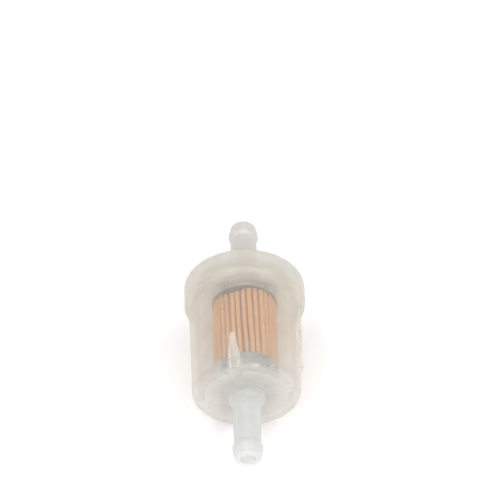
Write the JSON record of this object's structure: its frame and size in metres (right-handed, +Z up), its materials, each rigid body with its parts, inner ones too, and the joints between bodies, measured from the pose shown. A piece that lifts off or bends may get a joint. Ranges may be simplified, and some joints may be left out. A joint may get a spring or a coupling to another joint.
{
  "type": "in-line fuel filter",
  "caption": "Translucent plastic in-line fuel filter for a small engine, with a hose barb at each end and a pleated paper element inside.",
  "frame": {"origin": "on the filter's axis, halfway between the two barb tips, which is the centre of its bounding box", "axes": "+Y along the axis in the direction of flow, from the inlet barb to the outlet barb; +Z up with the filter lying on its side; +X to the right seen from the inlet"},
  "size_m": [0.032, 0.0764, 0.032],
  "materials": {
    "housing_plastic": "milky translucent moulded plastic",
    "tinplate": "pressed tinplate, semi-bright",
    "filter_paper": "resin-treated orange filter paper",
    "potting": "dark cured adhesive",
    "seal_rubber": "plain fuel-resistant rubber"
  },
  "bodies": {
    "root": {"bowl": "housing_plastic", "outlet_cover": "housing_plastic", "upper_end_cap": "tinplate", "lower_end_cap": "tinplate", "pleated_paper": "filter_paper", "upper_potting": "potting", "lower_potting": "potting", "centre_tube": "tinplate", "outlet_seal": "seal_rubber"}
  },
  "joints": []
}
